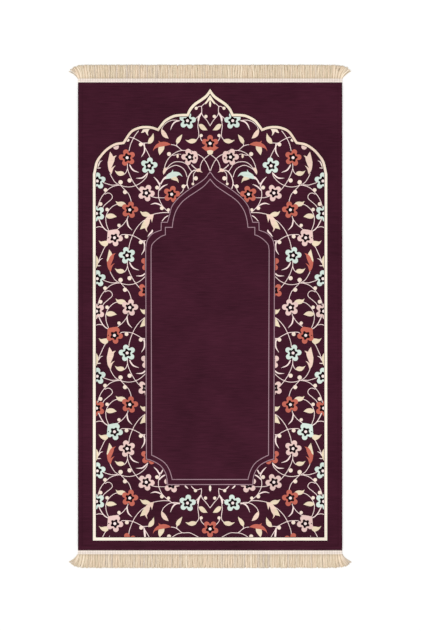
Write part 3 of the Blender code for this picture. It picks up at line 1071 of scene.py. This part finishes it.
class Threads:
    """Yarns or threads gathered into one mesh, each a closed tube with its own tint."""

    def __init__(self):
        self.places = []
        self.faces = []
        self.tints = []

    def lay(self, route, radii, tint):
        """Lays one yarn along a route, in millimetres."""
        first = len(self.places)
        last = len(route) - 1
        for k, (spot, radius) in enumerate(zip(route, radii)):
            along = (route[min(last, k + 1)] - route[max(0, k - 1)]).normalized()
            across = along.cross(Vector((0, 0, 1))).normalized()
            up = across.cross(along)
            for n in range(YARN_SIDES):
                turn = 2 * math.pi * n / YARN_SIDES
                self.places.append((spot + radius * (math.cos(turn) * across + math.sin(turn) * up)) * MM)
        for k in range(last):
            for n in range(YARN_SIDES):
                m = (n + 1) % YARN_SIDES
                near, far = first + k * YARN_SIDES, first + (k + 1) * YARN_SIDES
                self.faces.append((near + n, far + n, far + m, near + m))
        self.faces.append(tuple(first + n for n in range(YARN_SIDES)))
        self.faces.append(tuple(first + last * YARN_SIDES + n for n in reversed(range(YARN_SIDES))))
        self.tints += [tint] * (YARN_SIDES * len(route))

    def finish(self, name, material):
        """Makes the piece."""
        mesh = bpy.data.meshes.new(name)
        mesh.from_pydata(self.places, [], self.faces)
        mesh.attributes.new("tint", "FLOAT", "POINT").data.foreach_set("value", self.tints)
        mesh.materials.append(material)
        mesh.shade_smooth()
        mesh.set_sharp_from_angle(angle=math.radians(YARN_CREASE))
        return add_to_scene(name, mesh)


def splay(root_x):
    """How far the tip of a yarn stands outwards of its root."""
    inwards = max(0, HALF_WIDTH - abs(root_x))
    return math.copysign(FLARE * math.exp(-inwards / FLARE_FADE), root_x)


def sway(size, wave, rng):
    """A slow sideways wave along a yarn, nought at its root."""
    phase = rng.uniform(0, 2 * math.pi)
    return [size * math.sqrt(share) * math.sin(phase + wave * share) for share in YARN_SHARES]


def yarn_radii(full):
    """A yarn's thickness along it: it is drawn in where the tape holds it, and cut off at its end."""
    drawn_in = [YARN_ROOT + (1 - YARN_ROOT) * share / YARN_DRAWN_IN for share in YARN_SHARES[:-1]]
    return [full * min(1, share) for share in drawn_in] + [full * YARN_END]


def yarn_route(root_x, lean, length, height, radii, sways, end):
    """The points of one yarn, from inside the tape to its cut end. At the foot it is turned round."""
    shift = splay(root_x) + lean
    reach = math.sqrt(length**2 - (BEND_TAKES * shift) ** 2)
    route = []
    for share, aside, radius in zip(YARN_SHARES, sways, radii):
        x = root_x + shift * (FLARE_STARTS * share + (1 - FLARE_STARTS) * share**2) + aside
        y = TAPE_EDGE - YARN_IN_TAPE + (reach + YARN_IN_TAPE) * share
        rise = min(1, YARN_STARTS_AT + YARN_RISES * share) * (1 - YARN_SINKS * share**4)
        route.append(Vector((end * x, end * y, max(radius, height * rise))))
    return route


def fringe(name, end, seed, material):
    """All the locks of one end. Each is a few yarns side by side in two layers."""
    rng = random.Random(seed)
    yarns = Threads()
    for index in range(LOCKS):
        root_x = (index - (LOCKS - 1) / 2) * LOCK_PITCH
        opening = abs(splay(root_x)) / FLARE_FADE
        lean = rng.uniform(-LOCK_LEAN, LOCK_LEAN)
        lock_sway = sway(LOCK_SWAY, LOCK_WAVE, rng)
        lock_tint = rng.random()
        for layer in (LOWER_LAYER, UPPER_LAYER):
            count = layer.yarns + round(EXTRA_YARNS * opening)
            for k in range(count):
                side = 2 * k / (count - 1) - 1
                sways = [a * layer.strays + b for a, b in zip(lock_sway, sway(YARN_SWAY, YARN_WAVE, rng))]
                length = LONGEST_YARN - rng.uniform(0, YARN_TRIM)
                height = layer.height + rng.uniform(-layer.uneven, layer.uneven)
                aim = lean * layer.strays + side * layer.fan * opening
                radii = yarn_radii(layer.radius)
                route = yarn_route(root_x + side * layer.reach, aim, length, height, radii, sways, end)
                yarns.lay(route, radii, (1 - TINT_SPREAD) * lock_tint + TINT_SPREAD * rng.random())
    return yarns.finish(name, material)


def hem_stitches(material):
    """The row of lockstitches along the inner edge of the hem, on all four sides."""
    threads = Threads()
    half_across = HALF_WIDTH - STITCH_INSET
    half_along = HALF_LENGTH - STITCH_INSET
    level = cloth_height(half_across, 0)
    radii = [STITCH_THREAD / 2] * len(STITCH)
    for half_run, half_gap, is_along in ((half_across, half_along, False), (half_along, half_across, True)):
        count = round(2 * half_run / STITCH_PITCH)
        for sign in (1, -1):
            for k in range(count):
                middle = -half_run + (k + 0.5) * 2 * half_run / count
                route = []
                for share, rise in STITCH:
                    run = middle + share * STITCH_LENGTH
                    x, y = (sign * half_gap, run) if is_along else (run, sign * half_gap)
                    route.append(Vector((x, y, level + rise)))
                threads.lay(route, radii, 0.5)
    return threads.finish("hem_stitches", material)


# ---------------------------------------------------------------------------------------------
# Materials
# ---------------------------------------------------------------------------------------------


def linear(hex_colour):
    """An sRGB hex colour as linear red, green and blue, with alpha."""
    parts = [int(hex_colour[k : k + 2], 16) / 255 for k in (1, 3, 5)]
    return (*(c / 12.92 if c <= 0.04045 else ((c + 0.055) / 1.055) ** 2.4 for c in parts), 1.0)


def add(tree, kind, sockets=None, **settings):
    """Adds one node. Its sockets are given as values, or as another node's output to link."""
    new = tree.nodes.new(kind)
    for name, value in settings.items():
        setattr(new, name, value)
    for name, value in (sockets or {}).items():
        if isinstance(value, bpy.types.NodeSocket):
            tree.links.new(value, new.inputs[name])
        else:
            new.inputs[name].default_value = value
    return new


def set_stops(ramp, stops):
    """Gives a colour ramp its stops, each a position and an sRGB hex colour."""
    elements = ramp.color_ramp.elements
    while len(elements) < len(stops):
        elements.new(0.5)
    for element, (position, hex_colour) in zip(elements, stops):
        element.position = position
        element.color = linear(hex_colour)


def new_material(name):
    """A material with a shader, and its node tree."""
    material = bpy.data.materials.new(name)
    material.use_nodes = True
    return material, material.node_tree, material.node_tree.nodes["Principled BSDF"]


def toned(tree, spot, tones):
    """A colour that changes with the way up the rug, from tone to tone."""
    low, high = tones[0].y * MM, tones[-1].y * MM
    y = add(tree, "ShaderNodeSeparateXYZ", {"Vector": spot}).outputs["Y"]
    share = add(tree, "ShaderNodeMapRange", {"Value": y, "From Min": low, "From Max": high}).outputs["Result"]
    ramp = add(tree, "ShaderNodeValToRGB", {"Fac": share})
    set_stops(ramp, [((tone.y * MM - low) / (high - low), tone.colour) for tone in tones])
    return ramp.outputs["Color"]


def by_height(tree, spot, low, high, at_low, at_high):
    """A value that changes with the height above the floor, in millimetres."""
    height = add(tree, "ShaderNodeSeparateXYZ", {"Vector": spot}).outputs["Z"]
    ends = {"From Min": low * MM, "From Max": high * MM, "To Min": at_low, "To Max": at_high}
    return add(tree, "ShaderNodeMapRange", {"Value": height, **ends}).outputs["Result"]


def finish_textile(tree, shader, colour, relief, strength, depth, roughness, specular):
    """Gives a textile its colour, its fine relief, so deep in millimetres, and its matt surface."""
    bump = add(tree, "ShaderNodeBump", {"Height": relief, "Strength": strength, "Distance": depth * MM})
    tree.links.new(colour, shader.inputs["Base Color"])
    tree.links.new(bump.outputs["Normal"], shader.inputs["Normal"])
    shader.inputs["Roughness"].default_value = roughness
    shader.inputs["Specular IOR Level"].default_value = specular


def woven_material(name, tones, streak):
    """Cotton chenille, woven in fine cross ribs. It is matt, soft at a glancing angle, and each pick of
    yarn takes the dye a little differently, which the eye sees as faint streaks across the rug."""
    material, tree, shader = new_material(name)
    spot = add(tree, "ShaderNodeTexCoord").outputs["Object"]
    colour = linear(tones) if isinstance(tones, str) else toned(tree, spot, tones)
    # streaks about 35 mm long and 3 mm high, a few picks each
    stretched = add(tree, "ShaderNodeMapping", {"Vector": spot, "Scale": (28, 330, 40)}).outputs["Vector"]
    coarse = {"Vector": stretched, "Scale": 1.0, "Detail": 2.0}
    streaks = add(tree, "ShaderNodeTexNoise", coarse).outputs["Fac"]
    cloudy = add(tree, "ShaderNodeTexNoise", {"Vector": spot, "Scale": 9.0, "Detail": 2.0}).outputs["Fac"]
    both = add(tree, "ShaderNodeMath", {0: streaks, 1: cloudy}, operation="ADD").outputs["Value"]
    ends = {"From Min": 0.6, "From Max": 1.4, "To Min": 1 - streak, "To Max": 1 + streak}
    shade = add(tree, "ShaderNodeMapRange", {"Value": both, **ends}).outputs["Result"]
    dyed = add(tree, "ShaderNodeHueSaturation", {"Color": colour, "Value": shade}).outputs["Color"]
    # ribs 5 mm apart, a few times coarser than real picks, so that they show
    ribs = add(
        tree,
        "ShaderNodeTexWave",
        {"Vector": spot, "Scale": 63.0, "Distortion": 1.5, "Detail": 1.0, "Detail Scale": 0.6},
        bands_direction="Y",
    ).outputs["Fac"]
    fuzz = add(tree, "ShaderNodeTexNoise", {"Vector": spot, "Scale": 900.0, "Detail": 2.0}).outputs["Fac"]
    relief = add(tree, "ShaderNodeMath", {0: ribs, 1: fuzz}, operation="ADD").outputs["Value"]
    finish_textile(tree, shader, dyed, relief, strength=0.45, depth=0.3, roughness=0.92, specular=0.05)
    shader.inputs["Sheen Weight"].default_value = 0.02
    shader.inputs["Sheen Roughness"].default_value = 0.5
    return material


def yarn_material(name, tints):
    """Soft twisted cotton yarn, unbleached. It is matt, and no two locks are quite the same colour."""
    material, tree, shader = new_material(name)
    spot = add(tree, "ShaderNodeTexCoord").outputs["Object"]
    tint = add(tree, "ShaderNodeAttribute", attribute_name="tint").outputs["Fac"]
    ramp = add(tree, "ShaderNodeValToRGB", {"Fac": tint})
    set_stops(ramp, tints)
    # painted shade: the yarn is darker and warmer down between the locks, where the light doesn't reach
    shade = by_height(tree, spot, 1.2, 2.9, 0.625, 1.075)
    shade_warmth = by_height(tree, spot, 1.2, 2.9, 1.3, 1.0)
    parts = {"Color": ramp.outputs["Color"], "Value": shade, "Saturation": shade_warmth}
    dyed = add(tree, "ShaderNodeHueSaturation", parts).outputs["Color"]
    # the yarn's own twist, one turn in 6 mm, coarser than a real one
    twist = add(
        tree,
        "ShaderNodeTexWave",
        {"Vector": spot, "Scale": 105.0, "Distortion": 2.0, "Detail": 1.0},
        bands_direction="DIAGONAL",
    ).outputs["Fac"]
    fuzz = add(tree, "ShaderNodeTexNoise", {"Vector": spot, "Scale": 1800.0, "Detail": 2.0}).outputs["Fac"]
    relief = add(tree, "ShaderNodeMath", {0: twist, 1: fuzz}, operation="ADD").outputs["Value"]
    finish_textile(tree, shader, dyed, relief, strength=0.4, depth=0.3, roughness=0.85, specular=0.1)
    return material


def tape_material(hex_colour):
    """Close-woven cotton tape, paler than the fringe. It is matt and fine-grained."""
    material, tree, shader = new_material("cotton_tape")
    spot = add(tree, "ShaderNodeTexCoord").outputs["Object"]
    grain = add(tree, "ShaderNodeTexNoise", {"Vector": spot, "Scale": 160.0, "Detail": 2.0}).outputs["Fac"]
    ends = {"To Min": 0.86, "To Max": 1.14}
    shade = add(tree, "ShaderNodeMapRange", {"Value": grain, **ends}).outputs["Result"]
    # painted shade: the tape is darker down in the grooves between its ribs and lighter on their tops
    groove_shade = by_height(tree, spot, 1.5, 2.5, 0.79, 1.11)
    both = add(tree, "ShaderNodeMath", {0: shade, 1: groove_shade}, operation="MULTIPLY").outputs["Value"]
    dyed = add(tree, "ShaderNodeHueSaturation", {"Color": linear(hex_colour), "Value": both}).outputs["Color"]
    # its picks, 3 mm apart, coarser than real ones
    picks = add(
        tree, "ShaderNodeTexWave", {"Vector": spot, "Scale": 105.0, "Distortion": 1.0}, bands_direction="Y"
    ).outputs["Fac"]
    finish_textile(tree, shader, dyed, picks, strength=0.4, depth=0.2, roughness=0.88, specular=0.1)
    return material


def floor_material():
    """Matt white board, painted and rolled. It is plain and pale, with hardly a cloud in it."""
    material, tree, shader = new_material("painted_board")
    spot = add(tree, "ShaderNodeTexCoord").outputs["Object"]
    cloud = add(tree, "ShaderNodeTexNoise", {"Vector": spot, "Scale": 1.5, "Detail": 2.0}).outputs["Fac"]
    ends = {"To Min": 0.985, "To Max": 1.0}
    shade = add(tree, "ShaderNodeMapRange", {"Value": cloud, **ends}).outputs["Result"]
    white = {"Color": linear(FLOOR_COLOUR), "Value": shade}
    painted = add(tree, "ShaderNodeHueSaturation", white).outputs["Color"]
    tree.links.new(painted, shader.inputs["Base Color"])
    shader.inputs["Roughness"].default_value = 0.9
    shader.inputs["Specular IOR Level"].default_value = 0.1
    return material


# ---------------------------------------------------------------------------------------------
# Floor, light and camera
# ---------------------------------------------------------------------------------------------


def studio_floor():
    """A plain pale floor."""
    bpy.ops.object.select_all(action="DESELECT")
    bpy.ops.mesh.primitive_plane_add(size=FLOOR_SIZE, location=(0, 0, -FLOOR_DROP * MM))
    floor = bpy.context.object
    floor.name = "studio_floor"
    floor.data.materials.append(floor_material())
    return floor


def soft_light():
    """Plain soft light from all round, and a broad lamp above."""
    world = bpy.data.worlds.new("soft_light")
    world.use_nodes = True
    sky = world.node_tree.nodes["Background"]
    sky.inputs["Color"].default_value = (1, 1, 1, 1)
    sky.inputs["Strength"].default_value = WORLD_LIGHT
    bpy.context.scene.world = world
    lamp = bpy.data.lights.new("soft_lamp", "SUN")
    lamp.energy = LAMP_LIGHT
    lamp.angle = math.radians(LAMP_ANGLE)
    lamp_object = bpy.data.objects.new("soft_lamp", lamp)
    lamp_object.rotation_euler = LAMP_TURN
    bpy.context.scene.collection.objects.link(lamp_object)


def overhead_camera():
    """The camera straight above the rug, as far off as the photo's scale asks."""
    camera = bpy.data.cameras.new("overhead_camera")
    camera.lens = LENS_MM
    camera.sensor_width = SENSOR_MM
    camera.clip_end = FARTHEST_SEEN
    shown = max(PHOTO_WIDTH_PX, PHOTO_HEIGHT_PX) * MM_PER_PX * MM
    distance = shown * LENS_MM / SENSOR_MM
    eye = bpy.data.objects.new("overhead_camera", camera)
    eye.location = (AIM_X * MM, AIM_Y * MM, distance + cloth_height(0, 0) * MM)
    bpy.context.scene.collection.objects.link(eye)
    bpy.context.scene.camera = eye
    bpy.context.scene.view_settings.view_transform = "Standard"


def main():
    floor = studio_floor()
    soft_light()
    overhead_camera()
    streaks = [DARK_STREAK if yarn in DARK_YARNS else PALE_STREAK for yarn in YARN_ORDER]
    cotton = [woven_material(f"{yarn}_chenille", COLOURS[yarn], k) for yarn, k in zip(YARN_ORDER, streaks)]
    cloth = woven_cloth(cotton)
    stitches = hem_stitches(woven_material("plum_thread", THREAD_COLOUR, THREAD_STREAK))
    ecru = yarn_material("ecru_cotton_yarn", YARN_TINTS)
    header = tape_material(TAPE_COLOUR)
    pieces = [stitches]
    for node, end, seed in FRINGES:
        strip = tape(node + "_tape", end, header)
        locks = fringe(node + "_locks", end, seed, ecru)
        for piece in (strip, locks):
            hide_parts(node)
            pieces.append(piece)
    for piece in (cloth, stitches):
        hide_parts("rug_cloth")
    for piece in (cloth, *pieces):
        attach(piece, "root")


main()
